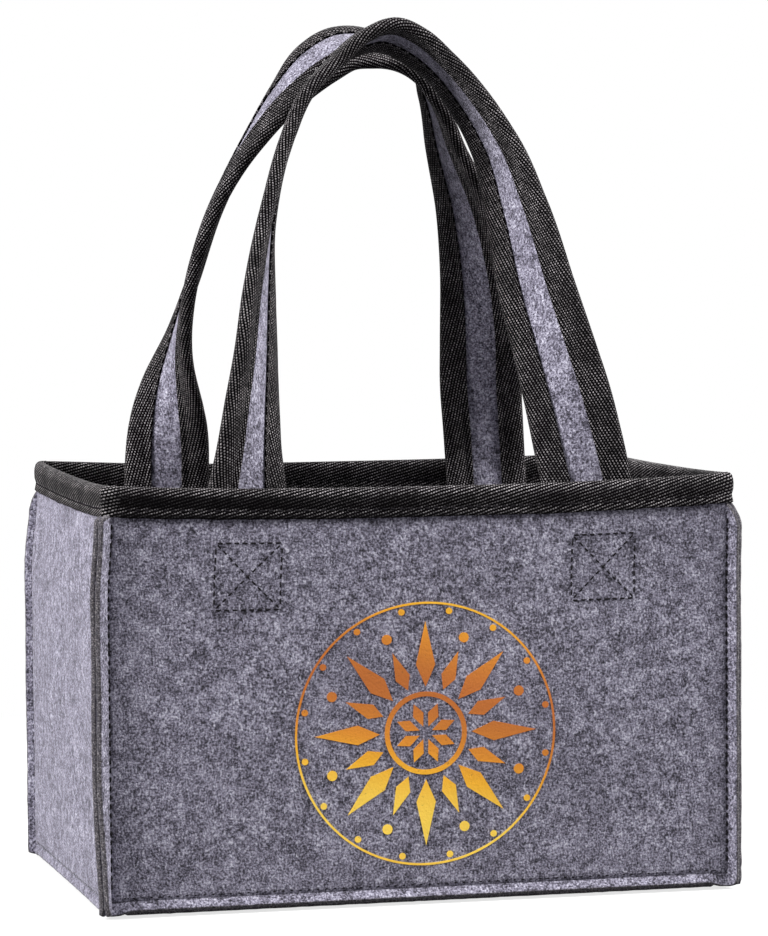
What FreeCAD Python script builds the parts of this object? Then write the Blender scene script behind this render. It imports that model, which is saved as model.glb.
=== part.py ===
import FreeCAD, Part
import math
import os

# Driving dimensions in millimetres
body_width = 234.0       # outside of the end walls
body_depth = 157.0       # outside of the long walls
rim_height = 153.0       # floor to the top of the rim tape
felt = 3.0               # walls, base, straps and dividers
seam_reach = 3.0         # how far a raw seam edge stands out
seam_layer = 1.8         # one felt layer pressed in a seam
floor_flat = 0.5         # worn flat under the base seam
tape = 0.8               # folded binding tape
rim_cover = 11.0         # tape height on each face of the rim
strap_width = 33.0
strap_cover = 10.6       # tape width on each face of a strap edge
strap_slack = 0.35       # between strap felt and its tape
leg_half = 63.0          # half the distance between strap legs
tail_drop = 48.0         # strap end below the rim
hinge_lift = 12.0        # fold line of a strap above the rim
hinge_gap = 0.3
arch_rise = 147.5        # fold line to the middle of the arch
handle_gap = 0.8         # each handle to the middle plane
stitch_box = 24.0
box_half = 66.0          # half the distance between stitch boxes
stitch_box_drop = 20.0   # rim to the top of a stitch box
thread_width = 0.9
thread_height = 0.5
divider_height = 92.0
divider_play = 1.5       # divider end to wall
slot_play = 0.3          # each side of a divider in its slot
columns = 3

# Handle arch: share of the half spacing, of the rise and of the inward lean
arch = [
    (1.000, 0.020, 0.002),
    (0.950, 0.080, 0.050),
    (0.894, 0.200, 0.170),
    (0.824, 0.360, 0.370),
    (0.722, 0.580, 0.610),
    (0.594, 0.750, 0.800),
    (0.446, 0.870, 0.910),
    (0.298, 0.945, 0.970),
    (0.149, 0.985, 0.990),
    (0.000, 1.000, 1.000),
]
# Strap twist in degrees at those stations, left leg up and right leg down
apex_twist = 67.0
front_left_twist = [0, 14, 38, 58, 72, 76, 75, 73, 70]
front_right_twist = [0, 10, 30, 46, 58, 69, 73, 73, 70]
back_left_twist = [0, 14, 34, 56, 78, 86, 82, 77, 71]
back_right_twist = [0, 4, 10, 20, 36, 50, 60, 66, 68]

# Sizes that follow
half_w = body_width / 2
half_d = body_depth / 2
inner_w = half_w - felt
inner_d = half_d - felt
diagonal = math.sqrt(0.5)
base_z = (seam_reach + seam_layer) * diagonal - floor_flat
floor_z = base_z + felt
wall_top = rim_height - tape
seam_step = seam_layer / diagonal
rim_foot = rim_height - rim_cover
hinge_z = rim_height + hinge_lift
strap_thick = felt + 2 * (tape + strap_slack)
strap_felt = strap_width - 2 * (tape + strap_slack)
strap_face = inner_d - tape
strap_mid = strap_face - strap_thick / 2
tail_z = rim_height - tail_drop

os.makedirs("parts", exist_ok=True)


def save(name, solids):
    shape = solids[0] if len(solids) == 1 else Part.makeCompound(solids)
    shape.exportStep("parts/" + name + ".step")


def vec(x, y, z):
    return FreeCAD.Vector(x, y, z)


def block(x0, x1, y0, y1, z0, z1):
    return Part.makeBox(x1 - x0, y1 - y0, z1 - z0, vec(x0, y0, z0))


def wire(points):
    return Part.makePolygon(points + [points[0]])


def prism(points, along):
    return Part.Face(wire(points)).extrude(along)


def mirrored(shape):
    return shape.mirror(vec(0, 0, 0), vec(0, 1, 0))


def turned(shape, degrees):
    copy = shape.copy()
    copy.rotate(vec(0, 0, 0), vec(0, 0, 1), degrees)
    return copy


# Walls: mitred felt plates with raw seam edges standing out at the corners
def corner_edge(half_len, offset, side):
    def section(reach, z):
        corner = (side * half_len, -offset)
        tip = (corner[0] + side * reach * diagonal, corner[1] - reach * diagonal)
        skin = (tip[0] - side * seam_layer * diagonal, tip[1] - seam_layer * diagonal)
        root = (corner[0] - side * seam_step, -offset)
        return wire([vec(p[0], p[1], z) for p in (corner, tip, skin, root)])

    foot = section(seam_reach, base_z + seam_step)
    shoulder = section(seam_reach, rim_foot - rim_cover)
    tuck = section(seam_reach / 5, rim_foot)
    return Part.makeLoft([foot, shoulder, tuck], True, True)


def wall(half_len, offset):
    skin = [
        vec(-half_len, -offset, base_z),
        vec(half_len, -offset, base_z),
        vec(half_len, -offset, wall_top),
        vec(-half_len, -offset, wall_top),
    ]
    lining = [
        vec(-half_len + felt, -offset + felt, floor_z),
        vec(half_len - felt, -offset + felt, floor_z),
        vec(half_len - felt, -offset + felt, wall_top),
        vec(-half_len + felt, -offset + felt, wall_top),
    ]
    plate = Part.makeLoft([wire(skin), wire(lining)], True, True)
    tip = (-offset - seam_reach * diagonal, base_z - seam_reach * diagonal)
    foot = prism(
        [
            vec(-half_len, -offset, base_z),
            vec(-half_len, tip[0], tip[1]),
            vec(-half_len, tip[0] - seam_layer * diagonal, tip[1] + seam_layer * diagonal),
            vec(-half_len, -offset, base_z + seam_step),
        ],
        vec(2 * half_len, 0, 0),
    )
    left = corner_edge(half_len, offset, -1)
    right = corner_edge(half_len, offset, 1)
    return plate.fuse([foot, left, right]).removeSplitter()


front_panel = wall(half_w, half_d)
save("front_panel", [front_panel])
save("back_panel", [turned(wall(half_w, half_d), 180)])
save("left_panel", [turned(wall(half_d, half_w), -90)])
save("right_panel", [turned(wall(half_d, half_w), 90)])


# Base: mitred plate with its own raw edges, cut level where they stand
def base_edge(half_len, offset):
    tip = (-offset - seam_reach * diagonal, base_z - seam_reach * diagonal)
    return prism(
        [
            vec(-half_len, -offset, base_z),
            vec(-half_len, tip[0], tip[1]),
            vec(-half_len, tip[0] + seam_layer * diagonal, tip[1] - seam_layer * diagonal),
            vec(-half_len, -offset + seam_step, base_z),
        ],
        vec(2 * half_len, 0, 0),
    )


def level_loop(half_len, half_wide, z):
    corners = [(-1, -1), (1, -1), (1, 1), (-1, 1)]
    return wire([vec(a * half_len, b * half_wide, z) for a, b in corners])


base_plate = Part.makeLoft(
    [level_loop(half_w, half_d, base_z), level_loop(inner_w, inner_d, floor_z)], True, True
)
edges = [
    base_edge(half_w, half_d),
    turned(base_edge(half_w, half_d), 180),
    turned(base_edge(half_d, half_w), -90),
    turned(base_edge(half_d, half_w), 90),
]
below = block(-2 * half_w, 2 * half_w, -2 * half_d, 2 * half_d, -10 * felt, 0)
base_panel = base_plate.fuse(edges).cut(below).removeSplitter()
save("base_panel", [base_panel])

# Rim binding: one tape folded over the wall tops
rim_out = block(-half_w - tape, half_w + tape, -half_d - tape, half_d + tape, rim_foot, rim_height)
upright = [e for e in rim_out.Edges if abs(e.Vertexes[0].Z - e.Vertexes[1].Z) > tape]
rim_out = rim_out.makeFillet(2 * tape, upright)
rim_in = block(-inner_w + tape, inner_w - tape, -inner_d + tape, inner_d - tape, 0, 2 * rim_height)
walls_out = block(-half_w, half_w, -half_d, half_d, 0, wall_top)
walls_in = block(-inner_w, inner_w, -inner_d, inner_d, 0, wall_top)
rim_binding = rim_out.cut(rim_in).cut(walls_out.cut(walls_in))
save("rim_binding", [rim_binding])


# Seam threads lie on the felt beside each seam
def upright_thread(half_len, offset, side):
    mid = side * (half_len - seam_step - thread_width)
    return block(
        mid - thread_width / 2,
        mid + thread_width / 2,
        -offset - thread_height,
        -offset,
        base_z + 3 * seam_step,
        rim_foot - thread_width,
    )


def level_thread(half_len, offset, z):
    return block(-half_len, half_len, -offset - thread_height, -offset, z, z + thread_width)


def around(make, *sizes):
    return [
        make(half_w, half_d, *sizes),
        turned(make(half_w, half_d, *sizes), 180),
        turned(make(half_d, half_w, *sizes), -90),
        turned(make(half_d, half_w, *sizes), 90),
    ]


save("corner_seam_threads", around(upright_thread, -1) + around(upright_thread, 1))
save(
    "base_seam_threads",
    around(lambda h, o: level_thread(h - 2 * seam_step, o, base_z + 1.5 * seam_step)),
)
save(
    "rim_stitching",
    around(lambda h, o: level_thread(h - 2 * seam_step, o + tape, rim_foot + 2 * thread_width)),
)


# Stitch boxes hold the strap ends to the long walls
def stitch_square(mid):
    half = stitch_box / 2
    centre = rim_height - stitch_box_drop - half
    face = -half_d - thread_height

    def bar(length, degrees, dx, dz):
        piece = block(-length / 2, length / 2, 0, thread_height, -thread_width / 2, thread_width / 2)
        piece.rotate(vec(0, 0, 0), vec(0, 1, 0), degrees)
        piece.translate(vec(mid + dx, face, centre + dz))
        return piece

    side = stitch_box + thread_width
    cross = stitch_box / diagonal
    bars = [bar(side, 0, 0, half), bar(side, 0, 0, -half), bar(side, 90, half, 0)]
    bars += [bar(side, 90, -half, 0), bar(cross, 45, 0, 0), bar(cross, -45, 0, 0)]
    return bars[0].fuse(bars[1:]).removeSplitter()


squares = [stitch_square(-box_half), stitch_square(box_half)]
save("front_box_stitches", squares)
save("back_box_stitches", [turned(s, 180) for s in squares])


# Strap sections across the width and the thickness
def felt_section():
    a = strap_felt / 2
    b = felt / 2
    return [(-a, -b), (a, -b), (a, b), (-a, b)]


def tape_section(side):
    edge = strap_width / 2
    lip = edge - strap_cover
    out = strap_thick / 2
    gap = out - tape
    points = [(lip, out), (edge, out), (edge, -out), (lip, -out)]
    points += [(lip, -gap), (edge - tape, -gap), (edge - tape, gap), (lip, gap)]
    return [(side * a, b) for a, b in points]


# Strap ends, sewn flat inside the long walls
def tail(section, mid):
    points = [vec(mid + a, -strap_mid + b, tail_z) for a, b in section]
    return prism(points, vec(0, 0, hinge_z - tail_z))


for label, side in (("left", -1), ("right", 1)):
    core = tail(felt_section(), side * leg_half)
    tapes = [tail(tape_section(-1), side * leg_half), tail(tape_section(1), side * leg_half)]
    save("front_" + label + "_strap_end", [core])
    save("front_" + label + "_end_tapes", tapes)
    save("back_" + label + "_strap_end", [mirrored(core)])
    save("back_" + label + "_end_tapes", [mirrored(t) for t in tapes])


# Handle arches: twisted straps from fold line to fold line
def arch_frames(left_twist, right_twist):
    lean = math.radians(apex_twist)
    apex_y = handle_gap + strap_width / 2 * math.sin(lean) + strap_thick / 2 * math.cos(lean)
    centres = [vec(-leg_half, -strap_mid, hinge_z + hinge_gap)]
    for across, up, inward in arch:
        y = strap_mid + (apex_y - strap_mid) * inward
        centres.append(vec(-leg_half * across, -y, hinge_z + arch_rise * up))
    centres += [vec(-c.x, c.y, c.z) for c in reversed(centres[:-1])]
    twists = [0] + left_twist + [apex_twist] + list(reversed(right_twist)) + [0]
    frames = []
    last = len(centres) - 1
    for i, centre in enumerate(centres):
        run = centres[min(i + 1, last)] - centres[max(i - 1, 0)]
        if i in (0, 1):
            run = vec(0, 0, 1)
        if i in (last - 1, last):
            run = vec(0, 0, -1)
        run.normalize()
        turn = math.radians(twists[i])
        outward = vec(-run.z, 0, run.x)
        outward.normalize()
        across = outward * math.cos(turn) + vec(0, -1, 0) * math.sin(turn)
        across = across - run * across.dot(run)
        across.normalize()
        frames.append((centre, across, run.cross(across)))
    return frames


def arch_solid(frames, section):
    loops = []
    for centre, across, normal in frames:
        loops.append(wire([centre + across * a + normal * b for a, b in section]))
    return Part.makeLoft(loops, True, False)


front_frames = arch_frames(front_left_twist, front_right_twist)
save("front_handle_felt", [arch_solid(front_frames, felt_section())])
save("front_handle_outer_tape", [arch_solid(front_frames, tape_section(1))])
save("front_handle_inner_tape", [arch_solid(front_frames, tape_section(-1))])
back_frames = arch_frames(back_left_twist, back_right_twist)
save("back_handle_felt", [mirrored(arch_solid(back_frames, felt_section()))])
save("back_handle_outer_tape", [mirrored(arch_solid(back_frames, tape_section(1)))])
save("back_handle_inner_tape", [mirrored(arch_solid(back_frames, tape_section(-1)))])

# Divider insert: strips slotted together, standing loose on the base
pocket = (2 * inner_w - (columns - 1) * felt) / columns
cross_x = (pocket + felt) / 2
slot_half = felt / 2 + slot_play
lap_z = floor_z + divider_height / 2
top_z = floor_z + divider_height
long_reach = inner_w - divider_play
cross_reach = inner_d - divider_play
long_divider = block(-long_reach, long_reach, -felt / 2, felt / 2, floor_z, top_z)
for x in (-cross_x, cross_x):
    slot = block(x - slot_half, x + slot_half, -felt, felt, lap_z - slot_play, top_z + felt)
    long_divider = long_divider.cut(slot)
save("long_divider", [long_divider])
for label, x in (("left", -cross_x), ("right", cross_x)):
    strip = block(x - felt / 2, x + felt / 2, -cross_reach, cross_reach, floor_z, top_z)
    slot = block(x - felt, x + felt, -slot_half, slot_half, floor_z - felt, lap_z)
    save(label + "_cross_divider", [strip.cut(slot)])
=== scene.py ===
import math

import bmesh
import bpy
import numpy as np
from mathutils import Euler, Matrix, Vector, noise


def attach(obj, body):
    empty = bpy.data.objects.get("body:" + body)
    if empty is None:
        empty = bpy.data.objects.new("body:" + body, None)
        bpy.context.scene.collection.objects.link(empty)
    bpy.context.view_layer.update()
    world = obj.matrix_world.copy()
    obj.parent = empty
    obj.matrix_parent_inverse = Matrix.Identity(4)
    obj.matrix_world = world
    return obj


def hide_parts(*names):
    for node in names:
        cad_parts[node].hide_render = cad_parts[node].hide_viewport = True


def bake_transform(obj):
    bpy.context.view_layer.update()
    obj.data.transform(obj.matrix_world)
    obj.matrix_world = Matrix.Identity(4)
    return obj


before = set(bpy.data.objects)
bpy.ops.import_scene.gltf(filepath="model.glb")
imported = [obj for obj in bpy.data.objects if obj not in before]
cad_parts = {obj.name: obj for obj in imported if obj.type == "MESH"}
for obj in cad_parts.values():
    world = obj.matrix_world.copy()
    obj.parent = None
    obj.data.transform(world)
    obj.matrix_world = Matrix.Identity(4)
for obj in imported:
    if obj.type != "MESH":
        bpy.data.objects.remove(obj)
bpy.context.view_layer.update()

# Sizes of the part in millimetres
MM = 0.001
HALF_W = 117.0
HALF_D = 78.5
FELT = 3.0
# Rounding of a raw felt edge: the face it lies towards, and its shares of reach and of drop
EDGE_ROUND = 0.6
EDGE_PROFILE = ((1, 0.7, 0.3), (1, 1.0, 1.0), (-1, 1.0, 1.0), (-1, 0.7, 0.3))
EDGE_RAGGED = 0.35
RIM = 153.0
RIM_FOOT = 142.0
TAPE = 0.8
BASE_Z = 2.894
FLOOR_Z = 5.894
WALL_TOP = 152.0
FOOT_LIFT = 0.85
LOW = BASE_Z + FOOT_LIFT
STRAP_WIDTH = 33.0
STRAP_COVER = 10.6
# Room between a strap's felt and its tape, and the stitch line's distance from the tape's lip
STRAP_EASE = 0.15
STRAP_CREASE = 2.2
RIM_CREASE = 2.8
BOX = 24.0
BOX_TOP = 133.0
BOX_MIDDLES = (-65.2, 66.8)
DIVIDER_TOP = 97.894
CROSS_X = 38.5
DIVIDER_PLAY = 1.5
SLOT_PLAY = 0.3
# Places across the rim tape, from its outside lip
RIM_TAPE_FOLD = 12.2
RIM_TAPE_SEAM = 2.7

# Straps from one sewn end over to the other: x, distance from the middle plane, height,
# twist and cupping in degrees. The back strap is sewn in with half a turn.
FRONT_KNOTS = [
    (-65.2, 72.6, 105, 0, 0), (-65.2, 72.6, 122, 0, 0), (-64.6, 71.4, 138, 8, 0),
    (-63.2, 67.8, 152, 23, 2), (-61.8, 65.3, 166, 37, 4), (-60, 61.8, 180, 45, 6),
    (-57.6, 57.4, 197, 54, 8), (-54.1, 49, 220.3, 62.5, 10.1), (-47.9, 37.8, 250.1, 74.9, 10.1),
    (-39.3, 28, 275, 78.1, 8.4), (-30.2, 21.8, 292.5, 79.5, 13.3), (-20.2, 18.4, 303.7, 84.7, 21.8),
    (-7, 17.2, 313.8, 79.6, 24.8), (2.7, 16.8, 316.4, 76, 24.7), (12.3, 17.2, 312.8, 77.8, 24.1),
    (22.3, 18.4, 304.8, 82.4, 20.3), (32.1, 21.8, 292.2, 81.2, 20), (41.1, 28, 274.4, 77.1, 26.7),
    (46.6, 37.8, 249.6, 65.5, 21), (50.7, 50, 219.9, 50.9, 14.7), (55, 58.4, 197, 41.4, 8.6),
    (58.2, 63.4, 180.2, 30.7, 4.2), (60.4, 67.2, 166, 22, 3), (62.5, 70.4, 152, 10, 1),
    (64.6, 72, 138, 3, 0), (66.6, 72.6, 122, 0, 0), (68, 72.6, 105, 0, 0),
]
BACK_KNOTS = [
    (-66, 72.6, 105, 0, 0), (-66, 72.6, 122, 0, 0), (-65.6, 71.4, 138, 4, 0),
    (-65.4, 69.6, 152, 14, 2), (-65.2, 67, 166, 32, 4), (-64.6, 63.4, 180, 56, 6),
    (-63, 58, 197, 84, 8), (-59.7, 49.5, 220, 100.8, 7.9), (-52.6, 37.8, 250.3, 102, 19.3),
    (-40.9, 28, 275.9, 94.8, 35.6), (-28.6, 22, 294.8, 79.8, 47.7), (-15.7, 19.2, 308, 63.8, 40.5),
    (-6, 18.4, 313.2, 62.4, 33), (4.5, 18.2, 313.2, 64, 22), (15.6, 18.4, 308.8, 74, 11.4),
    (25.2, 19.4, 302.6, 74, 11.2), (31, 22.4, 292.9, 84, 9.2), (37.8, 28.4, 275.7, 95.4, 8.4),
    (48.4, 37.8, 250, 113.7, 4), (56.3, 49.5, 220.1, 136.2, 2.4), (59.6, 58.4, 197.1, 158.1, 1.5),
    (61, 64, 180, 173.2, 0), (63, 68.4, 166, 178, 0), (64.6, 71.4, 152, 180, 0),
    (65.6, 72.3, 138, 180, 0), (66, 72.6, 122, 180, 0), (66, 72.6, 105, 180, 0),
]


def smooth(x):
    x = np.clip(x, 0.0, 1.0)
    return x * x * (3 - 2 * x)


def ripple(points, size, seed):
    """Smooth noise from -1 to 1 at each point, with features of about size."""
    flat = np.asarray(points, float).reshape(-1, 3) / size + seed
    values = [noise.noise(Vector(p)) for p in flat]
    return np.array(values).reshape(np.asarray(points).shape[:-1])


def unit(v):
    return v / np.maximum(np.linalg.norm(v, axis=-1, keepdims=True), 1e-9)


# Node helpers
SHEEN_ROUGH = 0.6


def add(tree, kind, inputs=None, **props):
    made = tree.nodes.new(kind)
    for key, value in props.items():
        setattr(made, key, value)
    for key, value in (inputs or {}).items():
        socket = made.inputs[key]
        if isinstance(value, bpy.types.NodeSocket):
            tree.links.new(value, socket)
        else:
            socket.default_value = value
    return made


def calc(tree, operation, a, b=0.0, c=0.0, clamp=False):
    made = add(tree, "ShaderNodeMath", {0: a, 1: b, 2: c}, operation=operation, use_clamp=clamp)
    return made.outputs[0]


def times(tree, a, b, clamp=False):
    return calc(tree, "MULTIPLY", a, b, clamp=clamp)


def scaled(tree, a, by, plus):
    return calc(tree, "MULTIPLY_ADD", a, by, plus)


def ranged(tree, value, low, high, to_low=0.0, to_high=1.0):
    made = add(
        tree,
        "ShaderNodeMapRange",
        {"Value": value, "From Min": low, "From Max": high, "To Min": to_low, "To Max": to_high},
        interpolation_type="SMOOTHSTEP",
    )
    return made.outputs["Result"]


def mixed(tree, share, a, b):
    made = add(tree, "ShaderNodeMix", {0: share, 6: a, 7: b}, data_type="RGBA")
    return made.outputs[2]


def srgb(r, g, b):
    def linear(c):
        c = c / 255
        return c / 12.92 if c <= 0.04045 else ((c + 0.055) / 1.055) ** 2.4

    return (linear(r), linear(g), linear(b), 1.0)


def ramp(tree, value, stops):
    """Colours along a value, from stops of a place and the red, green and blue there."""
    made = add(tree, "ShaderNodeValToRGB", {"Fac": value})
    marks = made.color_ramp.elements
    while len(marks) < len(stops):
        marks.new(0.5)
    for mark, (place, *tone) in zip(marks, stops):
        mark.position = place
        mark.color = srgb(*tone)
    return made.outputs["Color"]


def grain(tree, vector, scale, detail=2.0, rough=0.5):
    inputs = {"Vector": vector, "Scale": scale, "Detail": detail, "Roughness": rough}
    return add(tree, "ShaderNodeTexNoise", inputs).outputs["Fac"]


def stretched(tree, vector, scale, turn):
    made = add(tree, "ShaderNodeMapping", {"Vector": vector, "Scale": scale, "Rotation": turn})
    return made.outputs["Vector"]


def material(name, rough, specular, sheen):
    """A new material with its nodes, its shader and the place on the piece."""
    made = bpy.data.materials.new(name)
    made.use_nodes = True
    tree = made.node_tree
    shader = tree.nodes["Principled BSDF"]
    shader.inputs["Roughness"].default_value = rough
    shader.inputs["Specular IOR Level"].default_value = specular
    shader.inputs["Sheen Weight"].default_value = sheen
    shader.inputs["Sheen Roughness"].default_value = SHEEN_ROUGH
    place = add(tree, "ShaderNodeTexCoord").outputs["Object"]
    return made, tree, shader, place


def finished(tree, shader, colour, height, strength, distance):
    """Give a shader its colour and a fine relief."""
    inputs = {"Height": height, "Strength": strength, "Distance": distance}
    relief = add(tree, "ShaderNodeBump", inputs)
    tree.links.new(colour, shader.inputs["Base Color"])
    tree.links.new(relief.outputs["Normal"], shader.inputs["Normal"])


# Tones along each material's noise
FELT_TONES = ((0.26, 30, 28, 35), (0.40, 78, 75, 87), (0.52, 122, 118, 134),
              (0.64, 160, 157, 173), (0.78, 206, 204, 216))
RAW_TONES = ((0.34, 28, 25, 27), (0.54, 60, 56, 58), (0.74, 136, 131, 132))
THREAD_TONES = ((0.3, 8, 7, 9), (0.7, 30, 27, 31))
GOLD_TONES = ((0.0, 186, 104, 40), (0.35, 224, 142, 40), (0.65, 246, 180, 44),
              (1.0, 255, 214, 84))


def felt_colour(tree, place):
    """Mottled violet grey: fine speckle, soft blotches, dark flecks and pale hairs."""
    fine = grain(tree, place, 1350.0, 2.0, 0.6)
    fibre_a = grain(tree, stretched(tree, place, (0.42, 1.0, 1.0), (0.3, 0.7, 0.4)), 1500.0, 1.0)
    fibre_b = grain(tree, stretched(tree, place, (1.0, 1.0, 0.42), (0.6, -0.5, 0.2)), 1500.0, 1.0)
    blotch = grain(tree, place, 260.0, 2.0)
    cloud = grain(tree, place, 60.0, 2.0)
    fibres = times(tree, calc(tree, "ADD", fibre_a, fibre_b), 0.5)
    value = scaled(tree, fine, 0.88, times(tree, fibres, 0.66))
    value = scaled(tree, blotch, 0.38, value)
    value = scaled(tree, cloud, 0.15, calc(tree, "SUBTRACT", value, 0.535))
    colour = ramp(tree, value, FELT_TONES)
    pale = ranged(tree, fibre_b, 0.66, 0.76, 0.0, 0.4)
    dark = ranged(tree, fibre_a, 0.66, 0.76, 0.0, 0.45)
    colour = mixed(tree, dark, colour, srgb(52, 49, 58))
    colour = mixed(tree, pale, colour, srgb(200, 198, 209))
    return colour, fine, blotch


def felt_material(name):
    made, tree, shader, place = material(name, 0.95, 0.15, 0.12)
    colour, fine, blotch = felt_colour(tree, place)
    cut = add(tree, "ShaderNodeAttribute", attribute_name="cut").outputs["Fac"]
    shade = times(tree, cut, 0.88, clamp=True)
    raw = ramp(tree, grain(tree, place, 1700.0, 1.0), RAW_TONES)
    colour = mixed(tree, shade, colour, raw)
    # Below zero the same attribute is the strength of painted shade in a stitched crease
    crease = times(tree, cut, -0.9, clamp=True)
    colour = mixed(tree, crease, colour, srgb(16, 14, 18))
    height = scaled(tree, blotch, 0.6, fine)
    finished(tree, shader, colour, height, 0.55, 0.0006)
    return made


# How far the pale floats of the straps' tape show
STRAP_FLOATS = 0.8


def tape_material(name, folded=False):
    """Black twill: rows of pale thread floats at a shallow angle to the tape."""
    made, tree, shader, place = material(name, 0.8, 0.03, 0.0)
    uv = add(tree, "ShaderNodeUVMap", uv_map="tape").outputs["UV"]
    parts = add(tree, "ShaderNodeSeparateXYZ", {"Vector": uv})
    sway = scaled(tree, grain(tree, place, 120.0, 1.0), 0.5, -0.25)
    along = parts.outputs["X"]
    across = calc(tree, "ADD", parts.outputs["Y"], sway)
    row = scaled(tree, along, -0.25, times(tree, across, 0.82))
    row_number = calc(tree, "FLOOR", row)
    step = scaled(tree, across, 0.29, times(tree, along, 0.93))
    step = scaled(tree, row_number, 0.45, step)
    row_at = calc(tree, "SUBTRACT", calc(tree, "FRACT", row), 0.5)
    step_at = calc(tree, "SUBTRACT", calc(tree, "FRACT", step), 0.5)
    narrow, short = (2.2, 0.8) if folded else (1.8, 0.95)
    r2 = times(tree, times(tree, row_at, row_at), narrow)
    s2 = times(tree, times(tree, step_at, step_at), short)
    dot = ranged(tree, calc(tree, "ADD", r2, s2), 0.16, 0.035)
    cell = add(tree, "ShaderNodeCombineXYZ", {"X": row_number, "Y": calc(tree, "FLOOR", step)})
    chance = add(
        tree,
        "ShaderNodeTexWhiteNoise",
        {"Vector": cell.outputs["Vector"]},
        noise_dimensions="2D",
    ).outputs["Value"]
    patch = ranged(tree, grain(tree, place, 95.0, 2.0), 0.30, 0.70, 0.45, 1.0)
    level = times(tree, scaled(tree, chance, 0.7, 0.3), patch)
    # On the rim the floats carry painted highlight near the fold and the stitch line
    floats = rim_floats_and_highlight(tree, place, across) if folded else STRAP_FLOATS
    level = times(tree, level, floats)
    share = times(tree, dot, level, clamp=True)
    lint = ranged(tree, grain(tree, place, 1900.0, 1.0), 0.66, 0.78, 0.0, 0.35)
    colour = mixed(tree, share, srgb(3, 2, 3), srgb(180, 174, 176))
    colour = mixed(tree, lint, colour, srgb(90, 86, 92))
    finished(tree, shader, colour, dot, 0.6, 0.0003)
    return made


def rim_floats_and_highlight(tree, place, across):
    """How far the rim tape's floats show: fewest between its stitch line and its fold, with painted
    highlight at both, fewer over the front's left part and more where it turns the corner there."""

    def near(middle, reach, full):
        gap = calc(tree, "ABSOLUTE", calc(tree, "SUBTRACT", across, middle))
        return ranged(tree, gap, reach, full)

    spot = add(tree, "ShaderNodeSeparateXYZ", {"Vector": place})
    painted_highlight = calc(tree, "MAXIMUM", near(RIM_TAPE_FOLD, 4.6, 3.2), near(RIM_TAPE_SEAM, 1.5, 0.5))
    on_front = ranged(tree, spot.outputs["Y"], -0.070, -0.076)
    on_front_left = times(tree, on_front, ranged(tree, spot.outputs["X"], 0.07, -0.08))
    corner = times(tree, on_front, ranged(tree, spot.outputs["X"], -0.111, -0.115))
    on_front_left = calc(tree, "SUBTRACT", on_front_left, corner, clamp=True)
    level_elsewhere = scaled(tree, painted_highlight, 0.6, 0.6)
    flat = scaled(tree, painted_highlight, 0.8, 0.08)
    level_elsewhere = scaled(tree, corner, 0.5, level_elsewhere)
    change = calc(tree, "SUBTRACT", flat, level_elsewhere)
    return scaled(tree, on_front_left, change, level_elsewhere)


def thread_material(name):
    made, tree, shader, place = material(name, 0.8, 0.1, 0.0)
    ply = grain(tree, place, 2600.0, 1.0)
    colour = ramp(tree, ply, THREAD_TONES)
    finished(tree, shader, colour, ply, 0.4, 0.0002)
    return made


def print_material(name):
    """Gold heat print: yellow to copper, thin enough for the felt's speckle to show."""
    made, tree, shader, place = material(name, 0.5, 0.4, 0.0)
    parts = add(tree, "ShaderNodeSeparateXYZ", {"Vector": place})
    slope = times(tree, parts.outputs["X"], 4.0)
    rise = scaled(tree, parts.outputs["Z"], 18.0, slope)
    wave = calc(tree, "SINE", times(tree, rise, 3.4))
    value = scaled(tree, wave, 0.5, 0.5)
    colour = ramp(tree, value, GOLD_TONES)
    speck = grain(tree, place, 1050.0, 2.0, 0.55)
    worn = ranged(tree, speck, 0.34, 0.26, 0.0, 0.5)
    colour = mixed(tree, worn, colour, srgb(120, 78, 40))
    finished(tree, shader, colour, speck, 0.35, 0.0004)
    return made


felt_skin = felt_material("felt_grey")
tape_skin = tape_material("tape_twill")
rim_skin = tape_material("tape_twill_rim", folded=True)
thread_skin = thread_material("thread_dark")
print_skin = print_material("print_gold")


# Mesh helpers
def mesh_object(name, points, faces, skin, uvs=None, cut=None, flat=False):
    mesh = bpy.data.meshes.new(name)
    mesh.from_pydata((np.asarray(points) * MM).tolist(), [], faces)
    mesh.materials.append(skin)
    if uvs is not None:
        layer = mesh.uv_layers.new(name="tape")
        corners = np.zeros(len(mesh.loops), dtype=np.int32)
        mesh.loops.foreach_get("vertex_index", corners)
        layer.data.foreach_set("uv", np.asarray(uvs, dtype=np.float32)[corners].ravel())
    if cut is not None:
        mark = mesh.attributes.new("cut", "FLOAT", "POINT")
        mark.data.foreach_set("value", np.asarray(cut, dtype=np.float32))
    if flat:
        mesh.shade_flat()
    else:
        mesh.shade_smooth()
    mesh.update()
    made = bpy.data.objects.new(name, mesh)
    bpy.context.scene.collection.objects.link(made)
    return made


def right_way(made, weld=False):
    """Turn a piece's faces outward, after joining the two ends of a ring if they are to weld."""
    work = bmesh.new()
    work.from_mesh(made.data)
    if weld:
        bmesh.ops.remove_doubles(work, verts=work.verts, dist=1e-6)
    bmesh.ops.recalc_face_normals(work, faces=work.faces)
    work.to_mesh(made.data)
    work.free()


def run_lengths(line):
    """The distance travelled along a line at each of its points."""
    return np.concatenate([[0], np.cumsum(np.linalg.norm(np.diff(line, axis=0), axis=1))])


def tube_faces(rings, sides, first=0):
    """Faces between each ring of points and the next, from the point numbered first."""
    faces = []
    for at in range(first, first + (rings - 1) * sides, sides):
        for k in range(sides):
            after = (k + 1) % sides
            faces.append([at + k, at + after, at + sides + after, at + sides + k])
    return faces


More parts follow.
